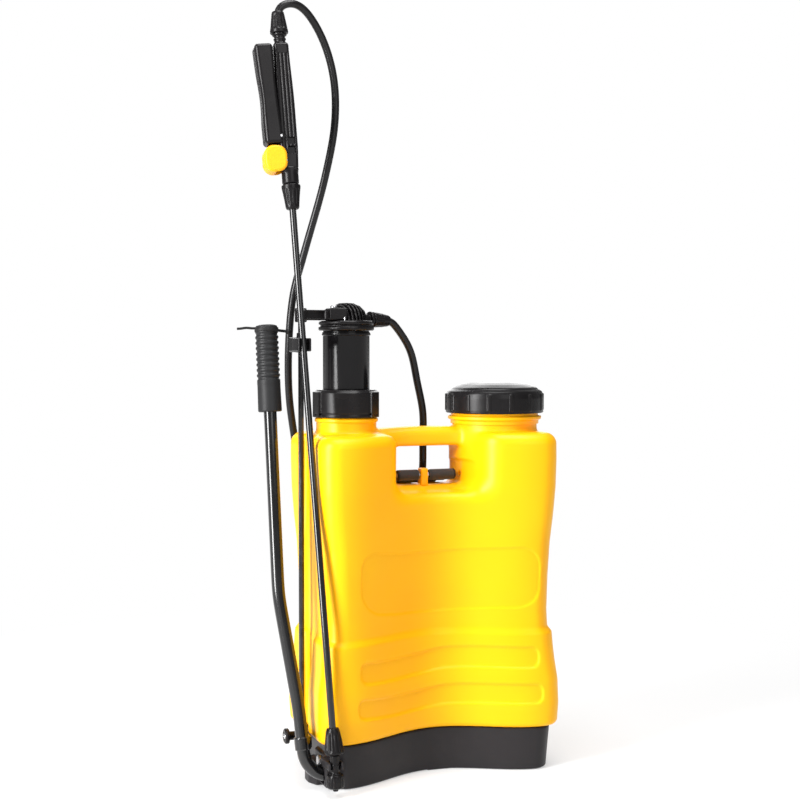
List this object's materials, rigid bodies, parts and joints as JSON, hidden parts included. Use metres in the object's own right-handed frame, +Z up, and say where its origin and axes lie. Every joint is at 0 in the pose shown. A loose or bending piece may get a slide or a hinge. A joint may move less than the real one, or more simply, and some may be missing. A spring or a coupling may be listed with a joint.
{
  "type": "backpack sprayer",
  "caption": "Yellow backpack sprayer with a black base, pump lever and pressure chamber at the side, filler lid, shoulder straps, hose and a spray lance with a trigger handle.",
  "frame": {"origin": "on the ground under the middle of the tank, on the flat foot of the base's central post", "axes": "+Z up; +X from the pump neck towards the filler neck; -Y out of the hollowed outer face; +Y towards the wearer's back; the pump lever is on the -X side"},
  "size_m": [0.4759, 0.2701, 1.101],
  "materials": {
    "yellow_polyethylene": "semi-gloss blow-moulded polyethylene",
    "yellow_trim": "smooth moulded",
    "black_plastic": "satin moulded",
    "black_gloss": "glossy moulded",
    "painted_tube": "black powder coat",
    "rubber": "matte",
    "steel": "zinc plated",
    "webbing": "woven polypropylene",
    "natural_plastic": "unpainted moulded",
    "brass": "turned"
  },
  "bodies": {
    "tank_unit": {"tank": "yellow_polyethylene", "base": "black_plastic", "foot_front_left": "rubber", "foot_front_right": "rubber", "foot_back_left": "rubber", "foot_back_right": "rubber", "strap_stud_left": "black_plastic", "strap_stud_right": "black_plastic", "pivot_screw": "steel", "shaft_bush": "natural_plastic", "collar_nut": "black_plastic", "pump_cylinder": "natural_plastic", "cylinder_gasket": "rubber", "cylinder_foot": "natural_plastic", "intake_valve": "rubber", "intake_strainer": "natural_plastic", "filler_strainer": "natural_plastic", "strap_bar": "steel", "strap_loop_left": "webbing", "strap_loop_right": "webbing", "shoulder_strap_left": "webbing", "shoulder_strap_right": "webbing", "strap_buckle_left": "black_gloss", "strap_buckle_right": "black_gloss", "hose_tank_side": "rubber"},
    "lever": {"lever_tube": "painted_tube", "lever_grip": "rubber", "crank_bracket": "painted_tube", "crank_pin": "steel", "shaft_clip": "steel", "stow_strap": "rubber"},
    "air_chamber_unit": {"air_chamber": "black_gloss", "piston_seal": "rubber", "piston_hub": "natural_plastic", "discharge_valve": "rubber", "chamber_head": "black_plastic", "riser_tube": "natural_plastic", "outlet_nut": "black_plastic", "cross_arm": "black_plastic", "arm_screw": "steel", "hose_pump_side": "rubber"},
    "pump_rod": {"connecting_rod": "painted_tube", "lance_holder": "black_plastic"},
    "lid_seal": {"lid_gasket": "rubber"},
    "lid": {"filler_lid": "black_plastic"},
    "lance": {"lance_tube": "painted_tube", "lance_nut": "black_plastic", "handle_body": "black_plastic", "trigger_pin": "steel", "latch_pin": "steel", "valve_spring": "steel", "hose_nut": "black_plastic", "hose_lance_side": "rubber", "nozzle_nut": "black_plastic", "nozzle_body": "black_plastic"},
    "trigger": {"squeeze_lever": "black_plastic"},
    "stem": {"valve_stem": "brass"},
    "latch": {"thumb_latch": "yellow_trim"},
    "nozzle": {"nozzle_cap": "black_plastic"}
  },
  "joints": [
    {"name": "lever_swing", "type": "hinge", "parent": "tank_unit", "child": "lever", "pos_m": [-0.163, -0.074, 0.0185], "axis": [-1, 0, 0], "range_deg": [0, 40]},
    {"name": "chamber_slide", "type": "slide", "parent": "tank_unit", "child": "air_chamber_unit", "axis": [0, 0, -1], "range_m": [0, 0.05483]},
    {"name": "rod_swing", "type": "hinge", "parent": "air_chamber_unit", "child": "pump_rod", "pos_m": [-0.183, 0.002, 0.658], "axis": [1, 0, 0], "range_deg": [0, 1.5]},
    {"name": "lid_turn", "type": "hinge", "parent": "lid_seal", "child": "lid", "pos_m": [0.116, 0, 0.535], "axis": [0, 0, 1], "range_deg": [0, 540]},
    {"name": "lid_lift", "type": "slide", "parent": "tank_unit", "child": "lid_seal", "axis": [0, 0, 1], "range_m": [0, 0.0092]},
    {"name": "lance_release", "type": "slide", "parent": "tank_unit", "child": "lance", "axis": [0, -1, 0], "range_m": [0, 0.1]},
    {"name": "trigger_squeeze", "type": "hinge", "parent": "lance", "child": "trigger", "pos_m": [-0.21827, -0.01756, 0.90368], "axis": [-0.0989, -0.989, 0.1099], "range_deg": [-5, 0]},
    {"name": "valve_stroke", "type": "slide", "parent": "lance", "child": "stem", "axis": [0.9942, -0.0934, 0.0542], "range_m": [0, 0.002]},
    {"name": "latch_turn", "type": "hinge", "parent": "lance", "child": "latch", "pos_m": [-0.21232, -0.02187, 0.87018], "axis": [-0.0989, -0.989, 0.1099], "range_deg": [0, 14]},
    {"name": "nozzle_turn", "type": "hinge", "parent": "lance", "child": "nozzle", "pos_m": [-0.17089, -0.11626, 0.05808], "axis": [-0.0173, 0.0458, 0.9988], "range_deg": [0, 360]}
  ],
  "couplings": [
    {"joint": "chamber_slide", "follows": "lever_swing", "m_per_rad": 0.077958},
    {"joint": "rod_swing", "follows": "lever_swing", "ratio": 0.032717},
    {"joint": "lid_lift", "follows": "lid_turn", "m_per_rad": 0.0009549},
    {"joint": "valve_stroke", "follows": "trigger_squeeze", "m_per_rad": -0.021772}
  ]
}
